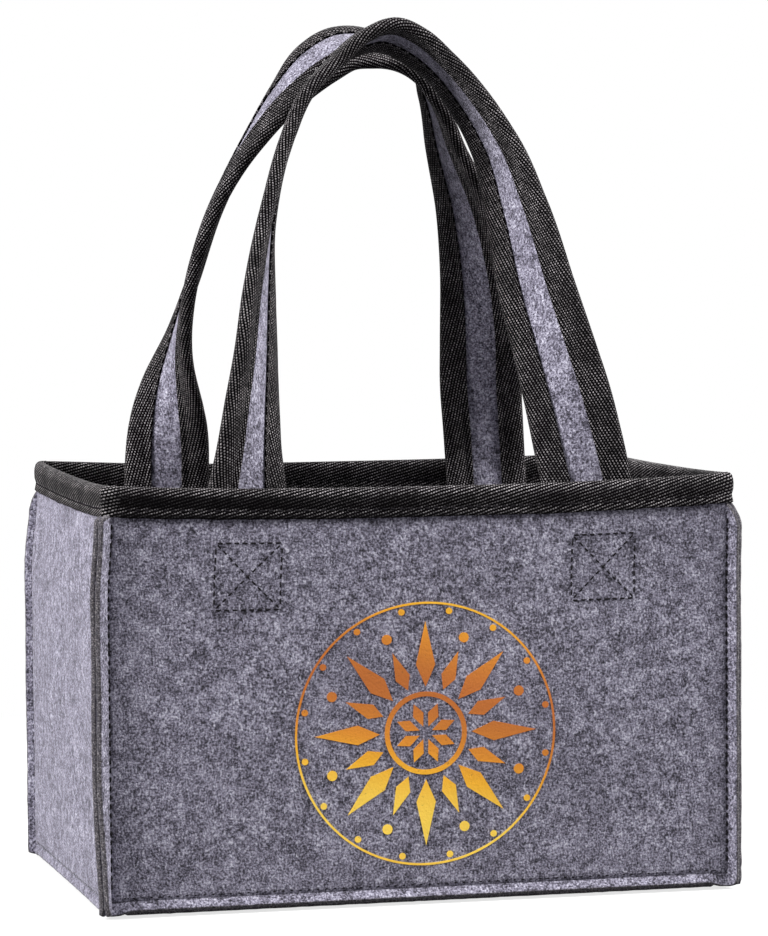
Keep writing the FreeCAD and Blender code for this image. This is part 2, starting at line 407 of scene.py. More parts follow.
def sheet(name, grid, thick, seed, crease=None, mask=None):
    """A closed felt sheet about a grid of middle points, with rounded raw edges."""
    rows, cols = grid.shape[:2]
    mask = np.ones((rows - 1, cols - 1), bool) if mask is None else mask
    along = np.gradient(grid, axis=0)
    up = np.gradient(grid, axis=1)
    normal = unit(np.cross(along, up))
    half = np.broadcast_to(np.asarray(thick, float) / 2, (rows, cols))
    used = np.zeros((rows, cols), bool)
    for di in (0, 1):
        for dj in (0, 1):
            used[di:rows - 1 + di, dj:cols - 1 + dj] |= mask
    count = int(used.sum())
    index = np.full((rows, cols), -1)
    index[used] = np.arange(count)
    outer = (grid + normal * half[..., None])[used]
    inner = (grid - normal * half[..., None])[used]
    points = [outer, inner]
    faces = []
    rims = []
    padded = np.pad(mask, 1)
    for i, j in np.argwhere(mask):
        a, b = (i, j), (i + 1, j)
        c, d = (i + 1, j + 1), (i, j + 1)
        ids = [index[p] for p in (a, b, c, d)]
        faces.append(ids)
        faces.append([n + count for n in reversed(ids)])
        sides = (((i + 1, j), a, b), ((i + 2, j + 1), b, c),
                 ((i + 1, j + 2), c, d), ((i, j + 1), d, a))
        rims += [(p, q) for beyond, p, q in sides if not padded[beyond]]
    push = {}
    for p, q in rims:
        out = np.cross(grid[q] - grid[p], normal[p] + normal[q])
        out = out / max(np.linalg.norm(out), 1e-9)
        for end in (p, q):
            push[end] = push.get(end, 0) + out
    places = {p: n for n, p in enumerate(push)}
    keys = list(push)
    out = unit(np.array([push[p] for p in keys]))
    mid = np.array([grid[p] for p in keys])
    nor = np.array([normal[p] for p in keys])
    thin = np.array([half[p] for p in keys])[:, None]
    ragged = 1 + EDGE_RAGGED * ripple(mid, 2.3, seed + 3.7)[:, None]
    round_by = np.minimum(EDGE_ROUND, thin * 0.9)
    for side, share, drop in EDGE_PROFILE:
        points.append(mid + out * round_by * share * ragged + nor * side * (thin - round_by * drop))
    start = 2 * count
    ring = len(keys)
    starts = range(start, start + len(EDGE_PROFILE) * ring, ring)
    for p, q in rims:
        a, b = [[index[end]] + [n + places[end] for n in starts] + [index[end] + count]
                for end in (p, q)]
        faces += [[b[k], a[k], a[k + 1], b[k + 1]] for k in range(len(a) - 1)]
    points = np.concatenate(points)
    cut = np.zeros(len(points))
    # The outer face takes painted shade along the stitched creases
    if crease is not None:
        cut[:count] = -crease[used]
    cut[start:] = 1.0
    return mesh_object(name, points, faces, felt_skin, cut=cut)


def spaced(marks):
    """Numbers through (place, step) marks, with the step that each mark asks for."""
    out = [np.array([marks[0][0]])]
    for (a, _), (b, step) in zip(marks, marks[1:]):
        n = max(1, round(abs(b - a) / step))
        out.append(np.linspace(a, b, n + 1)[1:])
    return np.concatenate(out)


# Seams: the turn of the long wall in degrees (the side wall turns the rest of a right angle),
# the felt's thickness in the seam, the reach of the raw edges from the inside corner, the
# height over which they come out from under the rim tape, and how far the long wall's fold
# stands out of true. At the foot the wall counts as long and the base as side.
SEAMS = {
    "front_left": (52.0, 2.1, 7.6, 2.5, 1.7),
    "front_right": (43.0, 2.1, 5.6, 11.0, 0.95),
    "back_left": (16.0, 1.8, 5.2, 9.0, 0.0),
    "back_right": (45.0, 1.8, 6.8, 10.0, 0.0),
    "front_foot": (35.0, 1.9, 5.35, 1.0, 0.96),
    "right_foot": (40.0, 1.9, 4.7, 1.0, 1.6),
    "back_foot": (45.0, 1.9, 3.75, 1.0, 2.5),
    "left_foot": (16.0, 1.9, 5.7, 1.0, 0.4),
}
# Half the length of a bend, and the length over which the felt thins past its start
BEND = 1.2
THIN_OVER = 3.0
# At its lower corners a wall hangs at this angle to this height; the base draws back there
CORNER_DROP = math.radians(9.0)
CORNER_LOW = 0.35
CORNER_TRIM = 0.14
BASE_EASE = 3.0
BASE_GROW = -0.5
BASE_DROOP = 0.9
# Stitching pulls a furrow along each seam, with painted shade in the crease
FURROW_DEPTH = 0.85
FURROW_AT = -0.35
FURROW_WIDE = 0.75
PAINTED_CREASE_AT = -0.15
PAINTED_CREASE_WIDE = 0.6
SEAM_WAVE = 0.14
# Below the rim the walls lean to the left and spread; the rim stands proud and is pulled up
# and in at its back left corner; near the floor the front left seam turns to the front
SETTLE_OVER = 30.0
LEAN = -1.0
SPREAD = 0.5
RIM_PROUD = 0.5
RIM_PULL_IN = 1.0
RIM_PULL_UP = 1.1
SEAM_TURN_IN = 2.0
SEAM_TURN_TOP = 48.0
# Size and depth of the walls' long waves and of their small dents
WAVE = (55.0, 0.9)
DENT = (23.0, 0.28)
# Walls: half the width, distance from the middle, turn about Z, bulge, sag of the top, seed of
# the noise, painted crease shade, ease towards the lower corners and seams at both sides
WALLS = {
    "front": dict(half=HALF_W, face=HALF_D, turn=0, bow=1.1, sag=2.5, seed=1.3, mark=1.0,
                  ease=(7.0, 7.0), seams=("front_left", "front_right")),
    "back": dict(half=HALF_W, face=HALF_D, turn=180, bow=1.3, sag=1.6, seed=5.1, mark=0.7,
                 ease=(7.0, 7.0), seams=("back_right", "back_left")),
    "left": dict(half=HALF_D, face=HALF_W, turn=-90, bow=0.9, sag=1.0, seed=8.9, mark=0.4,
                 ease=(7.0, 60.0), seams=("back_left", "front_left")),
    "right": dict(half=HALF_D, face=HALF_W, turn=90, bow=1.0, sag=1.1, seed=12.7, mark=0.5,
                  ease=(7.0, 7.0), seams=("front_right", "back_right")),
}


def fold_of(seam, long_wall):
    """Bend angle, start from the outside corner, length, felt thickness and tuck."""
    turn, layer, reach, tuck, shift = SEAMS[seam]
    angle = math.radians(turn if long_wall else 90 - turn)
    skip = (FELT / 2 - math.cos(angle) * layer / 2) / math.sin(angle)
    start = FELT + math.sin(angle) * layer / 2 - math.cos(angle) * skip + BEND
    length = reach - skip - EDGE_ROUND + BEND
    if long_wall:
        start -= shift
    else:
        start += shift * math.tan(math.radians(turn))
        length += shift / math.cos(math.radians(turn))
    return angle, start, length, layer, tuck


def bent(past, angle):
    """Run along and rise out of a panel at a distance past the start of a bend."""
    radius = 2 * BEND / angle
    turn = np.clip(past, 0, 2 * BEND) / radius
    straight = np.maximum(past - 2 * BEND, 0)
    run = radius * np.sin(turn) + straight * np.cos(angle)
    return run, radius * (1 - np.cos(turn)) + straight * np.sin(angle)


def flared(side, foot, side_fold, foot_fold, ease, grow, drop=None):
    """Bend a panel at a side and at its foot, with a trimmed corner between them.

    side and foot are distances past the two bends. Over the distance ease towards the corner
    the foot's bend grows longer by the share grow, and goes over to the angle drop. Gives the
    runs past the bends, the rise out of the panel, the distance past the bend and the felt's
    thickness.
    """
    near = smooth(side / ease + 1)
    side, foot = np.maximum(side, 0), np.maximum(foot, 0)
    angle = foot_fold[0] if drop is None else foot_fold[0] + (drop - foot_fold[0]) * near
    wide, side_rise = bent(side, side_fold[0])
    deep, foot_rise = bent(foot * (1 + grow * near), angle)
    trim = 1 - CORNER_TRIM * (side / side_fold[2] * foot / foot_fold[2]) ** 2
    rise = (side_rise ** 4 + foot_rise ** 4) ** 0.25
    past = np.maximum(side, foot)
    layer = np.where(side > foot, side_fold[3], foot_fold[3])
    thick = FELT - (FELT - layer) * smooth(past / THIN_OVER)
    return wide * trim, deep * trim, rise, past, thick


def settled(points):
    """Where points of the carrier come to lie as it stands."""
    points = np.array(points, float)
    x, y, z = [points[..., k].copy() for k in range(3)]
    low = smooth((RIM_FOOT - z) / SETTLE_OVER)
    pulled = (1 - low) * smooth((-x - 50.0) / 67.0) * smooth((y + 90.0) / 168.0)
    points[..., 0] += low * (LEAN + SPREAD * x / HALF_W) + RIM_PULL_IN * pulled
    points[..., 2] += RIM_PROUD * (1 - low) + RIM_PULL_UP * pulled
    beyond = -(x + HALF_W) - (y + HALF_D)
    turn_in = np.clip((beyond + 2.0) / 6.5, 0, 1) * (1 - smooth(z / SEAM_TURN_TOP))
    points[..., 0] += SEAM_TURN_IN * turn_in
    points[..., 1] -= 0.25 * SEAM_TURN_IN * turn_in
    return points


def slump(wall, s, z):
    """How far a wall bulges outward and how far its top sags, in millimetres."""
    w = WALLS[wall]
    share = np.clip(np.abs(s) / w["half"], 0, 1)
    height = np.clip((z - BASE_Z) / (RIM - BASE_Z), 0, 1)
    belly = 1 - share ** 2.6
    bulge = w["bow"] * belly * smooth(height * 2.2)
    spots = np.stack(np.broadcast_arrays(s, 0 * z, z), -1)
    soft = ripple(spots, WAVE[0], w["seed"]) * WAVE[1]
    soft = soft + ripple(spots, DENT[0], w["seed"] + 4) * DENT[1]
    quiet = smooth((1 - share) * 5) * smooth(height * 6) * (0.35 + 0.65 * smooth((1 - height) * 5))
    return bulge + soft * quiet, w["sag"] * belly * height ** 3


def turned(points, degrees):
    a = math.radians(degrees)
    spin = np.array([[math.cos(a), math.sin(a), 0], [-math.sin(a), math.cos(a), 0], [0, 0, 1]])
    return np.asarray(points) @ spin


def on_wall(wall, s, z, lift=0.0):
    """Points lift millimetres outside the middle of a wall, in the part's frame."""
    w = WALLS[wall]
    s, z = np.broadcast_arrays(np.asarray(s, float), np.asarray(z, float))
    bulge, sag = slump(wall, s, z)
    local = np.stack([s, -(w["face"] - FELT / 2) - bulge - lift, z - sag], -1)
    return settled(turned(local, w["turn"]))


def wall_folds(wall):
    """The wall's bends: left, right and foot, and where they start."""
    w = WALLS[wall]
    left, right = [fold_of(seam, wall in ("front", "back")) for seam in w["seams"]]
    foot = fold_of(wall + "_foot", True)
    return left, right, foot, -w["half"] + left[1], w["half"] - right[1], LOW + foot[1]


def panel_run(low, high, low_fold, high_fold):
    """Places along a panel, closer together where it bends at its two ends."""
    return spaced([
        (low - low_fold[2], 1), (low - 2 * BEND, 0.8), (low, 0.4), (low + 4, 0.8),
        (high - 4, 2.4), (high, 0.8), (high + 2 * BEND, 0.4), (high + high_fold[2], 0.8),
    ])


def groove(place, at, wide):
    return np.exp(-((place - at) / wide) ** 2)


def wall_panel(wall):
    w = WALLS[wall]
    left, right, foot, s0, s1, z0 = wall_folds(wall)
    s = panel_run(s0, s1, left, right)
    z = spaced([(z0 - foot[2], 1), (z0 - 2 * BEND, 0.8), (z0, 0.4), (z0 + 4, 0.8),
                (RIM_FOOT - 16, 2.4), (WALL_TOP, 1.1)])
    S, Z = np.meshgrid(s, z, indexing="ij")
    on_left = S < (s0 + s1) / 2
    # At its lower corners the wall hangs straight down to the floor
    grow = (z0 - EDGE_ROUND - CORNER_LOW) / foot[2] - 1
    at_left = flared(s0 - S, z0 - Z, left, foot, w["ease"][0], grow, CORNER_DROP)
    at_right = flared(S - s1, z0 - Z, right, foot, w["ease"][1], grow, CORNER_DROP)
    wide, deep, rise, past, thick = [np.where(on_left, a, b) for a, b in zip(at_left, at_right)]
    # The raw edges tuck in under the rim tape
    tuck = np.where(on_left, left[4], right[4])
    keep = 1 - 0.94 * np.clip(1 - (RIM_FOOT + 1.0 - Z) / tuck, 0, 1) ** 2
    side = np.where(on_left, -1.0, 1.0)
    pull_in = 1.2 * (1 - keep) * smooth(past / 2.0)
    X = np.clip(S, s0, s1) + side * (wide * keep - pull_in)
    rise = rise * np.where(Z > z0, keep, 1.0)
    height = np.maximum(Z, z0) - deep
    bulge, sag = slump(wall, X, height)
    inside = np.minimum(np.minimum(S - s0, s1 - S), Z - z0)
    place = np.where(past > 0, past, -inside) - BEND
    below = (Z < RIM_FOOT + 2).astype(float)
    furrow = FURROW_DEPTH * groove(place, FURROW_AT, FURROW_WIDE) * below
    # Painted shade along the seam creases, on the wall's outer face
    crease = w["mark"] * groove(place, PAINTED_CREASE_AT, PAINTED_CREASE_WIDE) * below
    wave = SEAM_WAVE * np.sin(Z / 8.0 + w["seed"])
    wave = wave * smooth((past - 2 * BEND) / 2) * (Z > z0 + 6)
    local = np.stack([X, -(w["face"] - FELT / 2) - bulge - rise + furrow, height - sag], -1)
    local[..., 0] += wave * side * 0.7
    local[..., 1] += wave * 0.7
    made = sheet(wall + "_wall", settled(turned(local, w["turn"])), thick, w["seed"], crease)
    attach(made, "carrier")
    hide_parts(wall + "_panel")


for wall in WALLS:
    wall_panel(wall)


# Base
def base_sheet():
    folds = {side: fold_of(side + "_foot", False) for side in ("left", "right", "front", "back")}
    x0, x1 = -HALF_W + folds["left"][1], HALF_W - folds["right"][1]
    y0, y1 = -HALF_D + folds["front"][1], HALF_D - folds["back"][1]
    runs = [panel_run(x0, x1, folds["left"], folds["right"]),
            panel_run(y0, y1, folds["front"], folds["back"])]
    SX, SY = np.meshgrid(*runs, indexing="ij")
    past_x = {"left": x0 - SX, "right": SX - x1}
    past_y = {"front": y0 - SY, "back": SY - y1}
    quarters = [[flared(past_x[a], past_y[b], folds[a], folds[b], BASE_EASE, BASE_GROW)
                 for b in past_y] for a in past_x]
    on_left, in_front = SX < 0, SY < 0
    wide, deep, rise, past, thick = [
        np.where(on_left, np.where(in_front, a, b), np.where(in_front, c, d))
        for a, b, c, d in zip(*quarters[0], *quarters[1])
    ]
    X = np.clip(SX, x0, x1) + np.sign(SX) * wide
    Y = np.clip(SY, y0, y1) + np.sign(SY) * deep
    middle = (1 - (X / HALF_W) ** 2).clip(0) * (1 - (Y / HALF_D) ** 2).clip(0)
    spots = np.stack([X, Y, 0 * X], -1)
    Z = LOW + FELT / 2 - rise - (FOOT_LIFT + BASE_DROOP) * smooth(middle * 2.5)
    Z = Z + ripple(spots, 45.0, 20.3) * 0.4 * middle
    made = sheet("base", settled(np.stack([X, Y, Z], -1)), thick, 17.0)
    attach(made, "carrier")
    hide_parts("base_panel")


base_sheet()


# Rim tape
RIM_ROUND = 3.0
# The tape swells over the thick seam at the front left corner
RIM_SWELL = 2.2


def rim_path():
    """Once round the wall tops: middle points and outward directions."""
    points = []
    normals = []
    for wall in ("front", "right", "back", "left"):
        w = WALLS[wall]
        flat = w["half"] - FELT / 2 - RIM_ROUND
        s = spaced([(-flat, 1), (flat, 2.0)])
        bulge, sag = slump(wall, s, np.full_like(s, RIM))
        local = np.stack([s, -(w["face"] - FELT / 2) - bulge, RIM - sag], -1)
        points.append(turned(local, w["turn"]))
        normals.append(turned(np.tile([0.0, -1.0, 0.0], (len(s), 1)), w["turn"]))
        corner = np.radians(np.linspace(-90, 0, 11)[1:-1])
        arc = np.stack([np.cos(corner), np.sin(corner), 0 * corner], -1)
        centre = np.array([flat, -(w["face"] - FELT / 2 - RIM_ROUND), RIM])
        swell = RIM_SWELL * np.sin(2 * corner)[:, None] ** 2 if wall == "left" else 0.0
        points.append(turned(centre + (RIM_ROUND + swell) * arc, w["turn"]))
        normals.append(turned(arc, w["turn"]))
    return settled(np.concatenate(points)), np.concatenate(normals)


def tape_section(lip, cover, over, crease, gauge):
    """Closed section of a folded tape, and the distance across the tape at its points.

    Points are the distance from the felt's middle and the height. The outside runs from lip
    to lip, pinched at the stitch line and puffed at the fold, and comes back along the inside.
    """
    out = over + TAPE
    leg = [(out + 0.15, 0.0), (out + 0.05, 0.8), (out - 0.15, 1.7), (out - 0.38, crease),
           (out - 0.12, crease + 0.9), (out + 0.18, crease + 2.0), (out + 0.28, cover * 0.62),
           (out + 0.16, cover - out - 0.4)]
    angles = np.radians(range(10, 171, 16))
    fold = [(out * math.cos(a), cover - out + out * math.sin(a)) for a in angles]
    back = [(-a, b) for a, b in reversed(leg)]
    line = np.array([(a, b + lip) for a, b in leg + fold + back])
    tangent = np.gradient(line, axis=0)
    inside = line + unit(np.stack([-tangent[:, 1], tangent[:, 0]], -1)) * gauge
    lengths = run_lengths(line)
    return np.concatenate([line, inside[::-1]]), np.concatenate([lengths, lengths[::-1]])


def rim_tape():
    path, out = rim_path()
    tall = RIM - RIM_FOOT
    loop, v = tape_section(-tall, tall, FELT / 2, RIM_CREASE, 0.62)
    travel = run_lengths(path)
    total = travel[-1] + np.linalg.norm(path[0] - path[-1])
    lip_wave = ripple(path, 9.0, 31.0) * 0.35
    lip_share = np.clip(-loop[:, 1] / tall, 0, 1) ** 2
    puff = 1 + 0.05 * ripple(path, 14.0, 37.0)
    wide = loop[None, :, 0] * puff[:, None]
    points = path[:, None, :] + out[:, None, :] * wide[..., None]
    points[..., 2] += loop[None, :, 1] + lip_wave[:, None] * lip_share[None, :]
    # The pattern starts and stops at a seam where the ring is welded
    points = np.concatenate([points, points[:1]])
    us = np.concatenate([travel, [total]])
    uvs = np.stack(np.meshgrid(us, v, indexing="ij"), -1).reshape(-1, 2)
    faces = tube_faces(*points.shape[:2])
    made = mesh_object("rim_tape", points.reshape(-1, 3), faces, rim_skin, uvs=uvs)
    right_way(made, weld=True)
    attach(made, "carrier")
    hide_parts("rim_binding")


rim_tape()


# Straps
def curve_through(knots, steps):
    """Smooth samples through knots, by chord length, with the ends' own directions."""
    knots = np.asarray(knots, float)
    chord = run_lengths(knots[:, :3])
    slope = np.gradient(knots, chord, axis=0)
    at = np.linspace(0, chord[-1], steps)
    k = np.clip(np.searchsorted(chord, at, side="right") - 1, 0, len(chord) - 2)
    h = (chord[k + 1] - chord[k])[:, None]
    t = (at - chord[k])[:, None] / h
    a, b = knots[k], knots[k + 1]
    ta, tb = slope[k] * h, slope[k + 1] * h
    return (
        (2 * t ** 3 - 3 * t ** 2 + 1) * a + (t ** 3 - 2 * t ** 2 + t) * ta
        + (3 * t ** 2 - 2 * t ** 3) * b + (t ** 3 - t ** 2) * tb
    )


def strap_frames(which):
    """Centres, across and outward directions, and bend across the width, end to end."""
    marks = FRONT_KNOTS if which == "front" else BACK_KNOTS
    knots = [(x, -y, z, twist, cup) for x, y, z, twist, cup in marks]
    line = curve_through(knots, 320)
    centre = line[:, :3]
    turn = np.radians(line[:, 3])[:, None]
    bend = np.radians(line[:, 4]) / STRAP_WIDTH
    run = unit(np.gradient(centre, axis=0))
    outward = unit(np.stack([-run[:, 2], 0 * run[:, 0], run[:, 0]], -1))
    across = outward * np.cos(turn) + np.array([0.0, -1.0, 0.0]) * np.sin(turn)
    across = unit(across - run * np.sum(across * run, axis=1, keepdims=True))
    normal = np.cross(run, across)
    if which == "back":
        flip = np.array([1.0, -1.0, 1.0])
        centre, across, normal = centre * flip, across * flip, normal * flip
    return centre, across, normal, bend


def on_strap(frames, a, b):
    """Points at a across the width and b off the middle face, on the cupped strap."""
    centre, across, normal, bend = frames
    bend = np.maximum(bend, 1e-6)[:, None]
    turn = bend * a
    wide = np.sin(turn) / bend - b * np.sin(turn)
    deep = (1 - np.cos(turn)) / bend + b * np.cos(turn) - bend * STRAP_WIDTH ** 2 / 24
    points = centre[:, None] + across[:, None] * wide[..., None] + normal[:, None] * deep[..., None]
    facing = across[:, None] * -np.sin(turn)[..., None] + normal[:, None] * np.cos(turn)[..., None]
    return points, facing


def strap_piece(name, frames, section, skin, uv_across=None):
    """Sweep a closed section along a strap's frames, with closed ends."""
    section = np.asarray(section, float)
    points, _ = on_strap(frames, section[None, :, 0], section[None, :, 1])
    n, m = points.shape[:2]
    faces = tube_faces(n, m)
    faces.append(list(range(m))[::-1])
    faces.append([(n - 1) * m + k for k in range(m)])
    uvs = None
    if uv_across is not None:
        travel = run_lengths(frames[0])
        uvs = np.stack(np.meshgrid(travel, uv_across, indexing="ij"), -1).reshape(-1, 2)
    made = mesh_object(name, points.reshape(-1, 3), faces, skin, uvs=uvs)
    right_way(made)
    return made


def felt_band():
    half = STRAP_WIDTH / 2 - TAPE - 0.35
    lip = STRAP_WIDTH / 2 - STRAP_COVER
    top = FELT / 2
    face = [(-half, top - 0.3), (-lip - 1.5, top), (-lip + 0.6, top + 0.25), (0.0, top + 0.42),
            (lip - 0.6, top + 0.25), (lip + 1.5, top), (half, top - 0.3)]
    return face + [(a, -b) for a, b in reversed(face)]


def edge_tape(side):
    lip = STRAP_WIDTH / 2 - STRAP_COVER
    loop, lengths = tape_section(lip, STRAP_COVER, FELT / 2 + STRAP_EASE, STRAP_CREASE, 0.6)
    return [(side * b, a) for a, b in loop], side * lengths


def bend_with_handle(made):
    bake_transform(made)


STRAPS = {which: strap_frames(which) for which in ("front", "back")}
for which, frames in STRAPS.items():
    pieces = [
        ("felt", (felt_band(), None), felt_skin, "grey_felt",
         ["_handle_felt", "_left_strap_end", "_right_strap_end"]),
        ("outer_tape", edge_tape(1), tape_skin, "black_tape",
         ["_handle_outer_tape", "_left_end_tapes"]),
        ("inner_tape", edge_tape(-1), tape_skin, "black_tape",
         ["_handle_inner_tape", "_right_end_tapes"]),
    ]
    for label, (section, lengths), skin, slot, nodes in pieces:
        made = strap_piece(which + "_strap_" + label, frames, section, skin, lengths)
        bend_with_handle(made)
        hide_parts(*[which + node for node in nodes])


# Stitching: how deep the threads lie below the faces that they are sewn through
CORNER_SUNK = 0.5
BASE_SUNK = 0.6
RIM_SUNK = 0.5
BOX_SUNK = 0.03
STRAP_SUNK = 0.66
# The cross of a box lies deeper in the felt than the square about it
CROSS_SUNK = 0.09
THREAD_SIDES = 6


def stitch_row(points, normals, pitch, length, radius):
    """Short raised threads along a line, each dipping into the cloth at its ends."""
    lengths = run_lengths(points)
    count = max(1, int(lengths[-1] // pitch))
    start = (lengths[-1] - count * pitch) / 2
    rings = np.array([-0.5, -0.32, 0.0, 0.32, 0.5])
    lifts = np.array([-1.0, 0.35, 0.75, 0.35, -1.0])
    widths = np.array([0.45, 0.9, 1.0, 0.9, 0.45])
    angles = np.radians(np.arange(0, 360, 360 // THREAD_SIDES))
    verts = []
    faces = []
    for n in range(count):
        at = start + (n + 0.5) * pitch + rings * length
        middle = np.stack([np.interp(at, lengths, points[:, k]) for k in range(3)], -1)
        up = unit(np.stack([np.interp(at, lengths, normals[:, k]) for k in range(3)], -1))
        run = unit(np.gradient(middle, axis=0))
        wide = unit(np.cross(run, up))
        base = len(verts)
        centre = middle + up * (lifts * radius)[:, None]
        for c, u, w, size in zip(centre, up, wide, widths):
            verts += [c + (w * math.cos(a) + u * math.sin(a) * 0.8) * radius * size for a in angles]
        faces += tube_faces(len(rings), THREAD_SIDES, base)
        faces.append([base + k for k in reversed(range(THREAD_SIDES))])
        faces.append([len(verts) - THREAD_SIDES + k for k in range(THREAD_SIDES)])
    return verts, faces


def stitches(name, rows, pitch=3.2, length=2.5, radius=0.42):
    verts = []
    faces = []
    for points, normals in rows:
        more, loops = stitch_row(points, normals, pitch, length, radius)
        faces += [[n + len(verts) for n in loop] for loop in loops]
        verts += more
    made = mesh_object(name, np.array(verts), faces, thread_skin)
    right_way(made)
    return made


def wall_row(wall, s, z, lift):
    points = on_wall(wall, s, z, lift)
    facing = turned(np.array([[0.0, -1.0, 0.0]]), WALLS[wall]["turn"])
    sign = 1.0 if lift > 0 else -1.0
    return points, np.repeat(facing, len(points), axis=0) * sign


corner_rows, base_rows, rim_rows = [], [], []
for wall, w in WALLS.items():
    *_, s0, s1, z0 = wall_folds(wall)
    z = np.linspace(z0 + 1.5, RIM_FOOT - 0.6, 80)
    for place in (s0 - 0.6, s1 + 0.6):
        corner_rows.append(wall_row(wall, np.full_like(z, place), z, FELT / 2 - CORNER_SUNK))
    s = np.linspace(s0 + 1.5, s1 - 1.5, 120)
    base_rows.append(wall_row(wall, s, np.full_like(s, z0 + 0.3), FELT / 2 - BASE_SUNK))
    s = np.linspace(-w["half"] + 6.5, w["half"] - 6.5, 120)
    high = np.full_like(s, RIM_FOOT + RIM_CREASE)
    for side in (1, -1):
        rim_rows.append(wall_row(wall, s, high, side * (FELT / 2 + TAPE - RIM_SUNK)))

for name, rows, node in (
    ("corner_stitches", corner_rows, "corner_seam_threads"),
    ("base_stitches", base_rows, "base_seam_threads"),
    ("rim_stitches", rim_rows, "rim_stitching"),
):
    made = stitches(name, rows)
    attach(made, "carrier")
    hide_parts(node)


def box_rows(wall, mid, lift):
    """A square with a cross, sewn in one run of straight rows."""
    low = BOX_TOP - BOX
    a, b = mid - BOX / 2, mid + BOX / 2
    ends = [((a, BOX_TOP), (b, BOX_TOP)), ((b, BOX_TOP), (b, low)), ((b, low), (a, low)),
            ((a, low), (a, BOX_TOP)), ((a, BOX_TOP), (b, low)), ((b, BOX_TOP), (a, low))]
    rows = []
    for (s0, z0), (s1, z1) in ends:
        t = np.linspace(0, 1, 24)
        sunk = CROSS_SUNK if s0 != s1 and z0 != z1 else 0.0
        rows.append(wall_row(wall, s0 + (s1 - s0) * t, z0 + (z1 - z0) * t, lift - sunk))
    return rows


for wall in ("front", "back"):
    rows = []
    for mid in BOX_MIDDLES:
        rows += box_rows(wall, mid if wall == "front" else -mid, FELT / 2 - BOX_SUNK)
    made = stitches(wall + "_box_stitches", rows, pitch=3.0, length=2.3, radius=0.34)
    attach(made, "carrier")
    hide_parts(wall + "_box_stitches")

for which, frames in STRAPS.items():
    rows = []
    line = STRAP_WIDTH / 2 - STRAP_COVER + STRAP_CREASE
    lift = FELT / 2 + STRAP_EASE + TAPE - STRAP_SUNK
    for side in (-1, 1):
        for face in (-1, 1):
            points, facing = on_strap(frames, np.array([[side * line]]), np.array([[face * lift]]))
            rows.append((points[:, 0], facing[:, 0] * face))
    made = stitches(which + "_strap_stitches", rows, radius=0.24)
    bend_with_handle(made)


# Divider insert
STRIP_STEP = 2.6


def strip(name, half, low, slots, place, node):
    """A felt strip with slots cut from one edge, stood on the base."""
    gap = FELT / 2 + SLOT_PLAY + EDGE_ROUND
    edges = [-half + EDGE_ROUND, half - EDGE_ROUND]
    edges = sorted(edges + [slot + side * gap for slot in slots for side in (-1, 1)])
    s = spaced([(edge, STRIP_STEP) for edge in edges])
    lap = FLOOR_Z + (DIVIDER_TOP - FLOOR_Z) / 2
    lap = lap - SLOT_PLAY - EDGE_ROUND if low else lap + EDGE_ROUND
    levels = (FLOOR_Z + EDGE_ROUND, lap, DIVIDER_TOP - EDGE_ROUND)
    z = spaced([(level, STRIP_STEP) for level in levels])
    S, Z = np.meshgrid(s, z, indexing="ij")
    mid_s = (s[1:] + s[:-1]) / 2
    mid_z = (z[1:] + z[:-1]) / 2
    mask = np.ones((len(mid_s), len(mid_z)), bool)
    for slot in slots:
        inside = np.abs(mid_s - slot) < gap
        cut = mid_z > lap if low else mid_z < lap
        mask &= ~(inside[:, None] & cut[None, :])
    spots = np.stack([S, 0 * S, Z], -1)
    clear = np.min([np.abs(S - slot) for slot in slots], axis=0)
    sway = ripple(spots, 40.0, half) * 0.9 * smooth((clear - 4) / 20.0)
    made = sheet(name, place(S, sway, Z), FELT - 0.1, half / 7, mask=mask)
    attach(made, "divider_insert")
    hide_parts(node)


strip("long_strip", HALF_W - FELT - DIVIDER_PLAY, True, [-CROSS_X, CROSS_X],
      lambda s, d, z: np.stack([s, d, z], -1), "long_divider")
for label, x in (("left", -CROSS_X), ("right", CROSS_X)):
    strip(label + "_cross_strip", HALF_D - FELT - DIVIDER_PLAY, False, [0.0],
          lambda s, d, z, x=x: np.stack([x + d, s, z], -1), label + "_cross_divider")


# Printed burst on the front wall
PRINT_MID = (0.0, 62.0)
PRINT_LIFT = 0.16
PRINT_SUNK = -0.25
PRINT_BANDS = ((13.4, 15.2), (47.5, 48.3))
# Rays: where they start and end, and half their width at the belly
LONG_RAY = (17.0, 41.0, 3.6)
SHORT_RAY = (17.0, 32.0, 2.8)


def polar(r, degrees):
    a = math.radians(degrees)
    return (r * math.sin(a), r * math.cos(a))


def disc(r, degrees, radius, sides):
    middle = polar(r, degrees)
    return [tuple(np.add(middle, polar(radius, k * 360 / sides))) for k in range(sides)]


def print_shapes():
    """Rays, dots and petals as flat outlines about the middle of the print."""
    shapes = []
    for n in range(16):
        at = n * 22.5
        inner, outer, wide = SHORT_RAY if n % 2 else LONG_RAY
        belly = inner + (outer - inner) * 0.35
        flank = math.degrees(wide / belly)
        shapes.append([polar(inner, at), polar(belly, at - flank), polar(outer, at),
                       polar(belly, at + flank)])
        if n % 2:
            shapes.append(disc(37.5, at, 1.9, 12))
        shapes.append(disc(45.5, at + 11.25, 1.25, 10))
    for n in range(8):
        at = n * 45 + 22.5
        shapes.append([polar(2.5, at), polar(7.5, at - 16), polar(11.5, at), polar(7.5, at + 16)])
    return shapes


